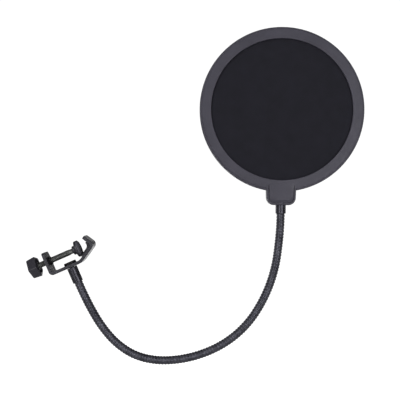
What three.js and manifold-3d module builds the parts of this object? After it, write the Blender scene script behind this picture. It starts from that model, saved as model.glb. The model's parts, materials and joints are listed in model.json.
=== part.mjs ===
// Pop filter: a six-inch double-mesh hoop on a flexible gooseneck, held by a screw clamp.
// Millimetres. X runs to the right, Y away from the viewer and Z up; the speaker faces the -Y side.
// The origin is the middle of the clamp's jaw, where the stand tube sits, with the tube along Y.

import * as THREE from 'three';
import { mergeVertices } from 'three/addons/utils/BufferGeometryUtils.js';
import Module from 'manifold-3d';

const wasm = await Module();
wasm.setup();

// ---------- driving dimensions ----------

const gap = 0.3;                      // clearance between neighbouring solids

// hoop: two moulded shells that meet at Y = 0 and pinch two meshes on a spacer ring
const hoopR = 77.1;
const windowR = 66.3;
const hoopHalfDepth = 5.75;
const lipThickness = 2;               // front and rear faces of the shells
const cavityR = 74.8;                 // inside of the shells' outer wall
const edgeRound = 2.5;                // outer edge of the shells
const windowChamfer = 0.4;
const meshR = 74.3;
const meshThickness = 0.3;
const spacerInnerR = 69;
const hoopSides = 60;                 // facets round the hoop

// tab under the hoop, which grips the gooseneck's end; heights are from the hoop's centre
const tabTopZ = -70;
const tabBottomZ = -89.65;
const tabTopHalfWidth = 14;
const tabBottomHalfWidth = 13.3;
const tabCorner = 7;
const panelTopZ = -69.3;              // raised panel over the ferrule's socket
const panelBottomZ = -87.3;
const panelHalfWidth = 11.6;
const panelCorner = 4.6;
const panelRise = 1.8;                // above the hoop's face at the panel's foot
const panelBevel = 1.2;
const panelTaper = 0.5;               // the panel's foot is this much narrower, each side
const panelCrownR = 60;
const tabScrewX = 7.9;
const tabScrewZ = -84.2;
const tabScrewR = 1.2;
const tabScrewHeadR = 2.3;
const tabScrewHeadHeight = 1.5;
const tabScrewReach = 3.2;            // how far the screw's point passes the split
const tabScrewSeatY = 4;              // underside of its head
const anchorHeadR = 4.3;
const anchorHeadHeight = 2.4;
const anchorHeadZ = -80.4;            // underside of the anchor bolt's head
const anchorReach = 9;                // length of its shank

// gooseneck: wound steel tube, drawn as short sections that meet in ball joints
const neckR = 4;
const neckBoreR = 2;
const neckBallR = 3.9;
const neckSocketR = 4.35;
const neckShoulder = 1.15;            // full radius ends this far before a ball's centre
const sectionLength = 19.75;
const sectionTurns = [
  3, 5.1, 10, 15, 19.5, 14.9, 10.5, 9.9, 10.9, 12, 12, 8.5, 8.5, 8.5, 3.1, 4.6,
];
const neckSides = 10;                 // facets round the gooseneck
const neckInsert = 7;                 // length held inside each ferrule

// end ferrules, the same at both ends
const ferruleR = 4.85;
const ferruleLength = 14.8;
const ferruleInTab = 6.9;             // length of the upper ferrule held in the tab
const ferruleChamfer = 0.3;
const boltR = 2.45;                   // M5 shanks, over the thread
const boltBoreR = boltR + gap;

// clamp: a bent strip with a V hook, drawn square to its base and then tilted
const clampTilt = 23.5;               // degrees, of the clamp screw above the horizontal
const stripThickness = 3;
const stripWidth = 18.5;
const legX = -37.1;                   // middle of the strip's leg
const legTopZ = 9.35;
const baseZ = -12.05;                 // middle of the strip's base
const hookVertex = [9.2, -1.9];       // where the two arms of the hook meet, X and Z
const lowerArmAngle = 31;             // degrees above the base
const upperArmAngle = 120.5;
const upperArmLength = 11.6;
const legCornerR = 3.5;               // rounded corners at the strip's two ends
const tipCornerR = 2.5;
const legBend = 1;                    // inside radii of the strip's three bends
const hookStartBend = 10;
const hookVertexBend = 1.9;
const liningThickness = 1.1;
const liningArcR = 3.8;               // hollow of the lining in the hook's corner
const liningLowerReach = 10.6;         // from the hook's vertex along each arm
const liningUpperReach = 6.5;
const liningInset = 0.25;             // the lining is narrower than the strip, each side
const neckMountX = -18.8;             // axis of the lower ferrule and its bolt
const neckBoltHeadR = 5.9;
const neckBoltHeadHeight = 2.1;
const neckBoltReach = 10.8;
const nutR = 4.1;                     // round collar with the clamp screw's thread
const nutHeight = 1.8;

// clamp screw, knob and swivelling pad; X positions at rest
const knobBackX = -55.4;
const knobFrontX = -46.9;
const knobSides = 5;
const knobR = 10.75;                  // to the sharp corners, at the front
const knobCorner = 2.2;
const knobBackScale = 0.91;           // the knob narrows towards its back
const knobTurn = -6;                  // degrees, of the corner that faces the viewer
const knobBevel = 0.7;
const knobHubR = 4;                   // the hub inside the knob's front recess
const knobRecessR = 7;
const knobRecessDepth = 2.2;
const screwR = 2.85;                  // M6, over the thread
const screwBoreR = screwR + gap;
const screwHeadR = 5;                 // to the corners of the hexagon moulded into the knob
const screwHeadHeight = 2.4;
const screwHeadX = knobBackX + 3.2;   // middle of the hexagon
const threadEndX = -14.6;             // a plain shank follows, up to the pad's hub
const screwShankR = 2.4;
const screwTipX = -8.4;
const screwTipR = 1.7;
const padHubX = -11.5;
const padHubR = 4.3;
const padBackX = -8.2;
const padFrontX = -6;
const padR = 7.8;
const padFaceX = -4;
const padFaceR = 6.5;                 // the facing's flat, inside its bevelled rim

// ---------- materials ----------

const hoopPlastic = new THREE.MeshStandardMaterial({ color: 0x4c4b51, roughness: 0.55 });
const spacerPlastic = new THREE.MeshStandardMaterial({ color: 0x202024, roughness: 0.6 });
const nylonMesh = new THREE.MeshStandardMaterial({ color: 0x1d1d21, roughness: 0.9 });
const neckSteel = new THREE.MeshStandardMaterial({ color: 0x37373c, roughness: 0.4, metalness: 0.8 });
const ferruleSteel = new THREE.MeshStandardMaterial({ color: 0x2c2c31, roughness: 0.3, metalness: 0.8 });
const clampSteel = new THREE.MeshStandardMaterial({ color: 0x3a3a40, roughness: 0.45, metalness: 0.5 });
const blackBolt = new THREE.MeshStandardMaterial({ color: 0x19191b, roughness: 0.5, metalness: 0.6 });
const screwSteel = new THREE.MeshStandardMaterial({ color: 0x4b4b44, roughness: 0.35, metalness: 0.9 });
const rubber = new THREE.MeshStandardMaterial({ color: 0x26262a, roughness: 0.85 });
const knobPlastic = new THREE.MeshStandardMaterial({ color: 0x2e2d33, roughness: 0.5 });

// ---------- geometry helpers ----------

const radians = THREE.MathUtils.degToRad;

/** Merge shared vertices, drop empty triangles and turn every face outwards. */
function closed(geometry) {
  const bare = geometry.clone();
  bare.deleteAttribute('normal');
  bare.deleteAttribute('uv');
  const merged = mergeVertices(bare, 1e-4);
  const position = merged.attributes.position;
  const [a, b, c] = [new THREE.Vector3(), new THREE.Vector3(), new THREE.Vector3()];
  const kept = [];
  let volume = 0;
  for (let i = 0; i < merged.index.count; i += 3) {
    const corners = [0, 1, 2].map((k) => merged.index.getX(i + k));
    if (new Set(corners).size < 3) continue;
    kept.push(corners);
    [a, b, c].forEach((v, k) => v.fromBufferAttribute(position, corners[k]));
    volume += a.dot(b.cross(c));
  }
  const facing = volume < 0 ? kept.map(([p, q, r]) => [p, r, q]) : kept;
  merged.setIndex(facing.flat());
  return merged;
}

/** A manifold-3d solid from a closed geometry. */
function solid(geometry) {
  const shell = closed(geometry);
  const vertProperties = new Float32Array(shell.attributes.position.array);
  const triVerts = new Uint32Array(shell.index.array);
  return new wasm.Manifold(new wasm.Mesh({ numProp: 3, vertProperties, triVerts }));
}

/** The geometry of a manifold-3d solid. */
function geometryOf(manifold) {
  const { vertProperties, triVerts } = manifold.getMesh();
  const geometry = new THREE.BufferGeometry();
  geometry.setAttribute('position', new THREE.BufferAttribute(new Float32Array(vertProperties), 3));
  geometry.setIndex(new THREE.BufferAttribute(new Uint32Array(triVerts), 1));
  return geometry;
}

/** One geometry's solid with others cut away from it. */
function cut(body, ...tools) {
  const carve = (left, tool) => left.subtract(solid(tool));
  return geometryOf(tools.reduce(carve, solid(body)));
}

/** A solid of revolution about Y, from [radius, height] points. */
function lathe(points, segments) {
  return new THREE.LatheGeometry(points.map(([r, h]) => new THREE.Vector2(r, h)), segments);
}

/** A ring of revolution about Y: the profile closes on itself. */
function ring(points, segments) {
  return lathe([...points, points[0]], segments);
}

/** A round bar about Y between two heights. */
function bar(radius, low, high, segments = 20) {
  return lathe([[0, low], [radius, low], [radius, high], [0, high]], segments);
}

/** Turn a geometry made about Y to stand along +Z or to lie along +X. */
const alongZ = (geometry) => geometry.rotateX(Math.PI / 2);
const alongX = (geometry) => geometry.rotateZ(-Math.PI / 2);

/** A flat outline in X and Z, given thickness along Y about Y = 0. */
function plate(outline, thickness) {
  const geometry = new THREE.ExtrudeGeometry(outline, { depth: thickness, bevelEnabled: false });
  return geometry.translate(0, 0, -thickness / 2).rotateX(Math.PI / 2);
}

/** Points along a polyline whose inner corners are rounded to the given radii. */
function rounded(corners, radii, steps = 6) {
  const path = [new THREE.Vector2(...corners[0])];
  for (let i = 1; i < corners.length - 1; i++) {
    const here = new THREE.Vector2(...corners[i]);
    const back = new THREE.Vector2(...corners[i - 1]).sub(here).normalize();
    const ahead = new THREE.Vector2(...corners[i + 1]).sub(here).normalize();
    const half = Math.acos(THREE.MathUtils.clamp(back.dot(ahead), -1, 1)) / 2;
    const radius = radii[i - 1];
    const centre = back.clone().add(ahead).setLength(radius / Math.sin(half)).add(here);
    const first = back.clone().multiplyScalar(radius / Math.tan(half)).add(here).sub(centre);
    const last = ahead.clone().multiplyScalar(radius / Math.tan(half)).add(here).sub(centre);
    const sweep = Math.atan2(first.cross(last), first.dot(last));
    for (let k = 0; k <= steps; k++) {
      path.push(first.clone().rotateAround(new THREE.Vector2(), (sweep * k) / steps).add(centre));
    }
  }
  path.push(new THREE.Vector2(...corners.at(-1)));
  return path;
}

/** The corners of a polyline moved sideways, to its left when the distance is positive. */
function offset(corners, distance) {
  const points = corners.map((p) => new THREE.Vector2(...p));
  const normals = points.slice(1).map((p, i) => {
    const along = p.clone().sub(points[i]).normalize();
    return new THREE.Vector2(-along.y, along.x);
  });
  return points.map((p, i) => {
    const before = normals[Math.max(i - 1, 0)];
    const after = normals[Math.min(i, normals.length - 1)];
    const miter = before.clone().add(after).normalize();
    return miter.multiplyScalar(distance / miter.dot(before)).add(p).toArray();
  });
}

/** A band between two polylines that run the same way. */
function band(left, right) {
  return new THREE.Shape([...left, ...right.reverse()]);
}

// ---------- hoop ----------

/** The wall, faces and rounded edge of both shells in one piece, before the split. */
function hoopRing() {
  const steps = 3;
  const outside = [];
  for (let step = 0; step <= steps; step++) {
    const angle = (step * Math.PI) / (2 * steps);
    const r = hoopR - edgeRound + edgeRound * Math.sin(angle);
    outside.push([r, -hoopHalfDepth + edgeRound * (1 - Math.cos(angle))]);
  }
  const face = hoopHalfDepth - lipThickness;
  const mirrored = [...outside].reverse().map(([r, y]) => [r, -y]);
  return ring([
    [windowR, -face], [windowR, windowChamfer - hoopHalfDepth],
    [windowR + windowChamfer, -hoopHalfDepth], ...outside, ...mirrored,
    [windowR + windowChamfer, hoopHalfDepth], [windowR, hoopHalfDepth - windowChamfer],
    [windowR, face],
    [cavityR, face], [cavityR, -face],
  ], hoopSides);
}

/** The outline of a tab that hangs down: straight sides and two rounded bottom corners. */
function hangingOutline(topZ, bottomZ, topHalf, bottomHalf, corner) {
  return new THREE.Shape(rounded([
    [-topHalf, topZ], [-bottomHalf, bottomZ], [bottomHalf, bottomZ], [topHalf, topZ],
  ], [corner, corner]));
}

/** A raised panel on both faces, crowned across and rising from the window to the panel's foot. */
function tabPanel() {
  const bevel = panelBevel;
  const topHalf = panelHalfWidth - bevel;
  const outline = hangingOutline(
    panelTopZ, panelBottomZ + bevel, topHalf, topHalf - panelTaper, panelCorner);
  const depth = 2 * (hoopHalfDepth + panelRise + 1);
  const block = new THREE.ExtrudeGeometry(outline, {
    depth: depth - 2 * bevel, bevelSize: bevel, bevelThickness: bevel, bevelSegments: 1,
  });
  block.translate(0, 0, bevel - depth / 2).rotateX(Math.PI / 2);
  const slope = Math.atan2(panelRise, panelTopZ - panelBottomZ);
  const crowns = [-1, 1].map((side) => {
    const crown = alongZ(bar(panelCrownR, -hoopR, hoopR, 120));
    crown.rotateX(side * slope);
    return crown.translate(0, -side * (panelCrownR - hoopHalfDepth), panelTopZ);
  });
  return solid(block).intersect(solid(crowns[0])).intersect(solid(crowns[1]));
}

/** Both shells in one piece, with the cavities for the meshes, the ferrule, its bolt and the screws. */
function hoopBody() {
  const face = hoopHalfDepth - lipThickness;
  const tab = solid(plate(
    hangingOutline(tabTopZ, tabBottomZ, tabTopHalfWidth, tabBottomHalfWidth, tabCorner),
    2 * hoopHalfDepth));
  const cavity = solid(bar(cavityR, -face, face, hoopSides));
  const window = solid(bar(windowR, -hoopR, hoopR, hoopSides));
  const socketTop = tabBottomZ + ferruleInTab + gap;
  const socket = solid(alongZ(bar(ferruleR + gap, tabBottomZ - 1, socketTop)));
  const boltHole = solid(alongZ(bar(boltBoreR, socketTop - 1, anchorHeadZ)));
  const pocketTop = anchorHeadZ + anchorHeadHeight + gap;
  const pocket = solid(alongZ(bar(anchorHeadR + gap, anchorHeadZ - gap, pocketTop)));
  let body = solid(hoopRing()).add(tab.add(tabPanel()).subtract(cavity).subtract(window));
  body = body.subtract(socket).subtract(boltHole).subtract(pocket);
  const outside = hoopHalfDepth + panelRise + 1;
  for (const side of [-1, 1]) {
    const pilot = bar(tabScrewR + gap, -tabScrewReach - gap, outside, 16);
    const recess = bar(tabScrewHeadR + gap, tabScrewSeatY - gap, outside);
    body = body.subtract(solid(pilot.translate(side * tabScrewX, 0, tabScrewZ)));
    body = body.subtract(solid(recess.translate(side * tabScrewX, 0, tabScrewZ)));
  }
  return body;
}

/** One shell: the part of the body on one side of the split. */
function hoopShell(side) {
  const reach = 4 * hoopR;
  const half = new THREE.BoxGeometry(reach, reach, reach).translate(0, (side * (reach + gap)) / 2, 0);
  return geometryOf(hoopBody().intersect(solid(half)));
}

/** A stretched disc of nylon mesh behind one shell's face. */
function meshDisc(side) {
  const outer = side * (hoopHalfDepth - lipThickness - gap);
  const inner = outer - side * meshThickness;
  return bar(meshR, Math.min(outer, inner), Math.max(outer, inner), hoopSides);
}

/** The ring that keeps the two meshes apart. */
function meshSpacer() {
  const half = hoopHalfDepth - lipThickness - 2 * gap - meshThickness;
  return ring([[spacerInnerR, -half], [meshR, -half], [meshR, half], [spacerInnerR, half]], hoopSides);
}

/** A small pan-head self-tapping screw along Y, its head to the rear. */
function tabScrew() {
  const top = tabScrewSeatY + tabScrewHeadHeight;
  return lathe([
    [0, -tabScrewReach], [tabScrewR / 3, -tabScrewReach], [tabScrewR, tabScrewR - tabScrewReach],
    [tabScrewR, tabScrewSeatY], [tabScrewHeadR, tabScrewSeatY], [tabScrewHeadR, top - 0.6],
    [tabScrewHeadR - 0.8, top], [0, top],
  ], 16);
}

/** The bolt inside the tab: its head in the pocket, its shank down into the ferrule. */
function anchorBolt() {
  return alongZ(lathe([
    [0, anchorHeadZ - anchorReach], [boltR, anchorHeadZ - anchorReach], [boltR, anchorHeadZ],
    [anchorHeadR, anchorHeadZ], [anchorHeadR, anchorHeadZ + anchorHeadHeight - 0.8],
    [anchorHeadR - 1, anchorHeadZ + anchorHeadHeight], [0, anchorHeadZ + anchorHeadHeight],
  ], 20));
}

// ---------- gooseneck ----------

/** A ferrule with its mouth at Z = 0: the gooseneck's socket, then the bolt's bore. */
function ferrule() {
  const socketR = neckR + gap;
  const socketDepth = neckInsert + gap;
  return alongZ(ring([
    [socketR, 0], [ferruleR - ferruleChamfer, 0], [ferruleR, ferruleChamfer],
    [ferruleR, ferruleLength - ferruleChamfer], [ferruleR - ferruleChamfer, ferruleLength],
    [boltBoreR, ferruleLength],
    [boltBoreR, socketDepth], [socketR, socketDepth],
  ], 20));
}

/** Curve a straight piece along Z, so that its axis turns towards -X over one section's length. */
function bend(geometry, turn) {
  const position = geometry.attributes.position;
  const radius = sectionLength / turn;
  for (let i = 0; i < position.count; i++) {
    const along = THREE.MathUtils.clamp(position.getZ(i), 0, sectionLength);
    const past = position.getZ(i) - along;
    const reach = radius + position.getX(i);
    const angle = along / radius;
    position.setX(i, reach * Math.cos(angle) - radius - past * Math.sin(angle));
    position.setZ(i, reach * Math.sin(angle) + past * Math.cos(angle));
  }
  return geometry;
}

/** A point on a ball or socket of the given radius, at an angle from the section's axis. */
function onSphere(radius, degrees, centreZ) {
  const angle = radians(degrees);
  return [radius * Math.sin(angle), centreZ + radius * Math.cos(angle)];
}

/** One hollow section: a socket at its start and a ball at its end, or plain ends in the ferrules. */
function neckSection(turn, isFirst, isLast) {
  const boreAngle = (radius) => THREE.MathUtils.radToDeg(Math.asin(neckBoreR / radius));
  const rimAngle = THREE.MathUtils.radToDeg(Math.asin(neckR / neckSocketR));
  const start = isFirst
    ? [[neckBoreR, -neckInsert], [neckR, -neckInsert], [neckR, 0]]
    : [boreAngle(neckSocketR), 47, rimAngle].map((angle) => onSphere(neckSocketR, angle, 0));
  const end = isLast
    ? [[neckR, sectionLength], [neckR, sectionLength + neckInsert],
      [neckBoreR, sectionLength + neckInsert]]
    : [[neckR, sectionLength - neckShoulder], ...[90, 60, boreAngle(neckBallR)].map(
      (angle) => onSphere(neckBallR, angle, sectionLength))];
  const outside = [1 / 3, 2 / 3].map((share) => [neckR, share * sectionLength]);
  const bore = [neckBoreR, sectionLength / 2];
  return bend(alongZ(ring([...start, ...outside, ...end, bore], neckSides)), turn);
}

// ---------- clamp ----------

/** The middle line of the strip: leg, base, the hook's lower arm and its upper arm. */
function stripLine() {
  const [vertexX, vertexZ] = hookVertex;
  const hookStartX = vertexX - (vertexZ - baseZ) / Math.tan(radians(lowerArmAngle));
  const tipX = vertexX + upperArmLength * Math.cos(radians(upperArmAngle));
  const tipZ = vertexZ + upperArmLength * Math.sin(radians(upperArmAngle));
  return [[legX, legTopZ], [legX, baseZ], [hookStartX, baseZ], hookVertex, [tipX, tipZ]];
}

/** A cutter that rounds off one corner of the strip's end, seen along the strip's thickness. */
function cornerCutter(radius, thickness) {
  const shape = new THREE.Shape();
  shape.moveTo(-1, -1);
  shape.lineTo(radius, -1);
  shape.lineTo(radius, 0);
  shape.absarc(radius, radius, radius, -Math.PI / 2, -Math.PI, true);
  shape.lineTo(-1, radius);
  return new THREE.ExtrudeGeometry(shape, { depth: thickness, bevelEnabled: false, curveSegments: 5 });
}

/** Both corner cutters for a strip end at X, Z, whose strip runs up at an angle in degrees. */
function endCutters([x, z], angle, radius) {
  return [-1, 1].map((side) => {
    const cutter = cornerCutter(radius, 3 * stripThickness);
    cutter.translate(-stripWidth / 2, 0, -1.5 * stripThickness);
    cutter.scale(side, -1, 1);
    cutter.rotateX(Math.PI / 2).rotateZ(Math.PI / 2);
    cutter.rotateY(radians(90 - angle));
    return cutter.translate(x, 0, z);
  });
}

/** The bent strip with its screw hole, its bolt hole and its rounded ends. */
function clampBracket() {
  const line = stripLine();
  const bends = [legBend, hookStartBend, hookVertexBend];
  const inner = rounded(offset(line, stripThickness / 2), bends);
  const outer = rounded(offset(line, -stripThickness / 2), bends.map((r) => r + stripThickness));
  const strip = plate(band(inner, outer), stripWidth);
  const screwHole = alongX(bar(screwBoreR, legX - stripThickness, legX + stripThickness));
  const boltHole = alongZ(bar(boltBoreR, baseZ - stripThickness, baseZ + stripThickness));
  return cut(strip, screwHole, boltHole.translate(neckMountX, 0, 0),
    ...endCutters(line[0], 90, legCornerR), ...endCutters(line.at(-1), upperArmAngle, tipCornerR));
}

/** The rubber lining in the hook's corner, which leaves the end of the upper arm bare. */
function jawLining() {
  const [, , hookStart, vertex, tip] = stripLine().map((p) => new THREE.Vector2(...p));
  const lower = hookStart.sub(vertex).setLength(liningLowerReach).add(vertex);
  const upper = tip.sub(vertex).setLength(liningUpperReach).add(vertex);
  const line = [lower, vertex, upper].map((p) => p.toArray());
  const seat = stripThickness / 2 + gap;
  const back = rounded(offset(line, seat), [hookVertexBend]);
  const front = rounded(offset(line, seat + liningThickness), [liningArcR]);
  return plate(band(back, front), stripWidth - 2 * liningInset);
}

/** The threaded collar on the leg's inner face. */
function threadNut() {
  const back = legX + stripThickness / 2 + gap;
  const front = back + nutHeight;
  return alongX(ring([
    [screwBoreR, back], [nutR, back], [nutR, front - 0.4], [nutR - 0.4, front], [screwBoreR, front],
  ], 24));
}

/** The wide-headed bolt that holds the lower ferrule, its head inside the clamp. */
function neckBolt() {
  const seat = baseZ + stripThickness / 2 + gap;
  const top = seat + neckBoltHeadHeight;
  return alongZ(lathe([
    [0, seat - neckBoltReach], [boltR, seat - neckBoltReach], [boltR, seat],
    [neckBoltHeadR, seat], [neckBoltHeadR, top - 0.5], [neckBoltHeadR - 0.5, top], [0, top],
  ], 24)).translate(neckMountX, 0, 0);
}

/** The clamp screw: a hexagon held in the knob, the thread, a plain shank and a turned-down tip. */
function clampScrew() {
  const shankEndX = padHubX - gap;
  const shank = lathe([
    [0, screwHeadX - 1], [screwR, screwHeadX - 1], [screwR, threadEndX],
    [screwShankR, threadEndX + 0.5], [screwShankR, shankEndX - 0.5], [screwTipR, shankEndX],
    [screwTipR, screwTipX], [0, screwTipX],
  ], 20);
  const head = new THREE.CylinderGeometry(screwHeadR, screwHeadR, screwHeadHeight, 6);
  head.translate(0, screwHeadX, 0);
  return alongX(geometryOf(solid(shank).add(solid(head))));
}

/** The five-sided knob, narrower at its back, with a ring-shaped recess around its hub. */
function clampKnob() {
  const corners = [];
  const cornerR = knobR - knobBevel;
  for (let i = 0; i < knobSides + 2; i++) {
    const angle = radians((i * 360) / knobSides + knobTurn);
    corners.push([cornerR * Math.cos(angle), cornerR * Math.sin(angle)]);
  }
  const radii = Array(knobSides).fill(knobCorner);
  const outline = new THREE.Shape(rounded(corners, radii, 3).slice(1, -1));
  const depth = knobFrontX - knobBackX - 2 * knobBevel;
  const body = new THREE.ExtrudeGeometry(outline, {
    depth, bevelSize: knobBevel, bevelThickness: knobBevel, bevelSegments: 1,
  });
  body.translate(0, 0, knobBackX + knobBevel);
  const position = body.attributes.position;
  for (let i = 0; i < position.count; i++) {
    const share = (position.getZ(i) - knobBackX) / (knobFrontX - knobBackX);
    const scale = THREE.MathUtils.lerp(knobBackScale, 1, share);
    position.setXY(i, position.getX(i) * scale, position.getY(i) * scale);
  }
  const floor = knobFrontX - knobRecessDepth;
  const recess = ring([
    [knobHubR, floor], [knobRecessR - 0.2, floor], [knobRecessR, knobFrontX + 1],
    [knobHubR - 0.2, knobFrontX + 1],
  ], 28);
  const pocketR = screwHeadR + gap / Math.cos(Math.PI / 6);
  const pocket = new THREE.CylinderGeometry(pocketR, pocketR, screwHeadHeight + 2 * gap, 6);
  pocket.translate(0, screwHeadX, 0);
  const bore = bar(screwBoreR, screwHeadX, knobFrontX + 1);
  return cut(body.rotateY(Math.PI / 2), alongX(recess), alongX(pocket), alongX(bore));
}

/** The pad: a steel disc and the hub that swivels on the screw's tip. */
function pressurePad() {
  const boreR = screwTipR + gap;
  return alongX(ring([
    [boreR, padHubX], [padHubR - 0.4, padHubX], [padHubR, padHubX + 0.4], [padHubR, padBackX],
    [padR - 0.5, padBackX], [padR, padBackX + 0.5], [padR, padFrontX], [boreR, padFrontX],
  ], 24));
}

/** The rubber facing on the pad. */
function padFacing() {
  const back = padFrontX + gap;
  return alongX(lathe([
    [0, back], [padR, back], [padR, padFaceX - 0.9], [padFaceR, padFaceX], [0, padFaceX],
  ], 24));
}

// ---------- assembly ----------

/** A named mesh in a parent group. */
function addPart(parent, name, geometry, material) {
  const mesh = new THREE.Mesh(closed(geometry), material);
  mesh.geometry.computeVertexNormals();
  mesh.name = name;
  parent.add(mesh);
  return mesh;
}

const popFilter = new THREE.Group();

const clamp = new THREE.Group();
clamp.rotation.y = -radians(clampTilt);
popFilter.add(clamp);
addPart(clamp, 'clamp_bracket', clampBracket(), clampSteel);
addPart(clamp, 'jaw_lining', jawLining(), rubber);
addPart(clamp, 'thread_nut', threadNut(), blackBolt);
addPart(clamp, 'neck_bolt', neckBolt(), blackBolt);
addPart(clamp, 'clamp_screw', clampScrew(), screwSteel);
addPart(clamp, 'clamp_knob', clampKnob(), knobPlastic);
addPart(clamp, 'pressure_pad', pressurePad(), clampSteel);
addPart(clamp, 'pad_facing', padFacing(), rubber);

const ferruleTopZ = baseZ - stripThickness / 2 - gap;
const lowerFerrule = addPart(clamp, 'lower_ferrule', ferrule(), ferruleSteel);
lowerFerrule.position.set(neckMountX, 0, ferruleTopZ - ferruleLength);

// the gooseneck leaves the lower ferrule's mouth and each section carries the next
let joint = new THREE.Group();
joint.position.set(neckMountX, 0, ferruleTopZ - ferruleLength);
joint.rotation.y = Math.PI;
clamp.add(joint);
sectionTurns.forEach((degrees, i) => {
  const turn = radians(degrees);
  const section = neckSection(turn, i === 0, i === sectionTurns.length - 1);
  addPart(joint, `neck_section_${String(i + 1).padStart(2, '0')}`, section, neckSteel);
  const next = new THREE.Group();
  const radius = sectionLength / turn;
  next.position.set(radius * Math.cos(turn) - radius, 0, radius * Math.sin(turn));
  next.rotation.y = -turn;
  joint.add(next);
  joint = next;
});

addPart(joint, 'upper_ferrule', ferrule(), ferruleSteel);
const hoop = new THREE.Group();
hoop.position.z = ferruleLength - ferruleInTab - tabBottomZ;
joint.add(hoop);
addPart(hoop, 'anchor_bolt', anchorBolt(), blackBolt);
addPart(hoop, 'front_hoop', hoopShell(-1), hoopPlastic);
addPart(hoop, 'rear_hoop', hoopShell(1), hoopPlastic);
addPart(hoop, 'front_mesh', meshDisc(-1), nylonMesh);
addPart(hoop, 'rear_mesh', meshDisc(1), nylonMesh);
addPart(hoop, 'mesh_spacer', meshSpacer(), spacerPlastic);
addPart(hoop, 'tab_screw_left', tabScrew(), blackBolt).position.set(-tabScrewX, 0, tabScrewZ);
addPart(hoop, 'tab_screw_right', tabScrew(), blackBolt).position.set(tabScrewX, 0, tabScrewZ);

export default popFilter;
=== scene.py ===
"""Looks of a microphone pop filter: a double-mesh hoop, a ribbed gooseneck and a screw clamp.

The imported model's frame: X runs from the clamp to the hoop, Y away from the speaker, Z up.
Pieces are built in millimetres in the frame of the hoop or the clamp, and placed in metres. The gooseneck
is built in metres in the model's own frame. Names ending in _R are radii, _U and _V are the clamp's own
directions, and "depth" in the hoop is measured along Y from the line between its shells.
"""
import json
import math

import bmesh
import bpy
import numpy as np
from mathutils import Matrix, Vector


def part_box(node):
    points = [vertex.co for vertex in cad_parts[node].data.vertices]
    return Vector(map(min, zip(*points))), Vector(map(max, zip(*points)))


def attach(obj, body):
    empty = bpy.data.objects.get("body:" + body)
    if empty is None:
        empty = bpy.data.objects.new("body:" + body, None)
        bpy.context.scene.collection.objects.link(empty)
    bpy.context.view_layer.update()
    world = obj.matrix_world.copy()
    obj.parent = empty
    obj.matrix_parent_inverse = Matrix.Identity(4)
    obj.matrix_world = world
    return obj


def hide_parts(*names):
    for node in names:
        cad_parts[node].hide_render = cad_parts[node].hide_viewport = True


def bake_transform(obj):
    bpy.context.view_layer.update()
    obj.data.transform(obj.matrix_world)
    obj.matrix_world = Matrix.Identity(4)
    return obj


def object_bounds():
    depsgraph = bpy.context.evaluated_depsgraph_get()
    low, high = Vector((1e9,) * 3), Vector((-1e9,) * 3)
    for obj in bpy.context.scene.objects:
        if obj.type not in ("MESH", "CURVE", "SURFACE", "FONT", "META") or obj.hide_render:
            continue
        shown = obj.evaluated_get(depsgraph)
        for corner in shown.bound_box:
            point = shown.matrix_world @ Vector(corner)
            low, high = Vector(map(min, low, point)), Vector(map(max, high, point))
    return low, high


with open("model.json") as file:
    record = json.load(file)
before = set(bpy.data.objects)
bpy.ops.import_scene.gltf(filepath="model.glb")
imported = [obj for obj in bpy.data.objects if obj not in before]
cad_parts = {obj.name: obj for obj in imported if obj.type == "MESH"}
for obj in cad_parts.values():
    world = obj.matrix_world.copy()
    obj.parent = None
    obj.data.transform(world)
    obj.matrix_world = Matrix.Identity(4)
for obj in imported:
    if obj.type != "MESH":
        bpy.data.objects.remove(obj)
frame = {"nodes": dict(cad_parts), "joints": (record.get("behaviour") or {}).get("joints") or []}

cad_low, cad_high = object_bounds()
MM = 0.001
UP_Y = Vector((0, 1, 0))

# ---------- driving sizes, in millimetres ----------

APART = 0.02                          # keeps two faces from lying in one plane where solids are joined

# hoop, measured from its centre
HOOP_R = 77.1
WINDOW_R = 66.3
HALF_DEPTH = 5.75                     # of the hoop, each side of the parting line
RIM_ROUNDING, WINDOW_ROUNDING = 1.3, 0.45
LIP_BACK = 3.75                       # the lip's inner face, which the mesh lies behind
CAVITY_R = 74.8
GROOVE_R = 74.9                       # a fine groove between the flat face and the rounded edge
GROOVE_WIDTH, GROOVE_DEPTH = 0.7, 0.45
GROOVE_DRAFT = 0.15                   # how far each wall of the groove leans
GROOVE_DROP, RIM_DROP = 0.25, 0.35    # how far the band outside the groove falls, from inside to outside
PARTING = 0.12                        # half of the visible parting line
TONGUE = 0.1                          # the front shell's tongue past the middle, which closes that line
TONGUE_INSET = 0.8                    # of the tongue from the outside
SHELL_SEGMENTS = 256
MESH_R = 74.3
MESH_THICKNESS = 0.25
MESH_FACE = 3.47                      # outer face of each mesh
MESH_EYE_R, MESH_RINGS, MESH_SEGMENTS = 0.5, 60, 192
TAB_TOP, TAB_BOTTOM = -70.0, -89.65
TAB_TOP_HALF, TAB_BOTTOM_HALF = 14.0, 13.3
TAB_CORNER = 7.0
TAB_EDGE = 1.1                        # rounding of the tab's edge
TAB_SEAM = 0.03                       # how far the tab's back stands behind the ring's
TAB_TONGUE_STEP = 0.1                 # how far its tongue stands inside the ring's
CAVITY_MARGIN = (0.7, 0.75)           # how far the tab is cut back past the cavity, outwards and forwards
PANEL_TOP, PANEL_BOTTOM = -69.3, -87.3
PANEL_HALF, PANEL_TAPER, PANEL_CORNER = 11.6, 0.5, 5.2
PANEL_RISE = 1.8                      # of the panel above the hoop's face at its foot
PANEL_CROWN = 0.7                     # of its middle above its sides
PANEL_SIDE = 2.1                      # width of the drafted band round the panel
PANEL_BAND = 0.4                      # width of the rounding between that band and the face
PANEL_ROOT = 1.5                      # how far the panel reaches into the tab
PANEL_GROOVE, PANEL_GROOVE_DEPTH = 0.6, 1.2
PANEL_GROOVE_TOP = -71.5
TAB_SCREW_X, TAB_SCREW_Z = 7.9, -84.2
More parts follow.
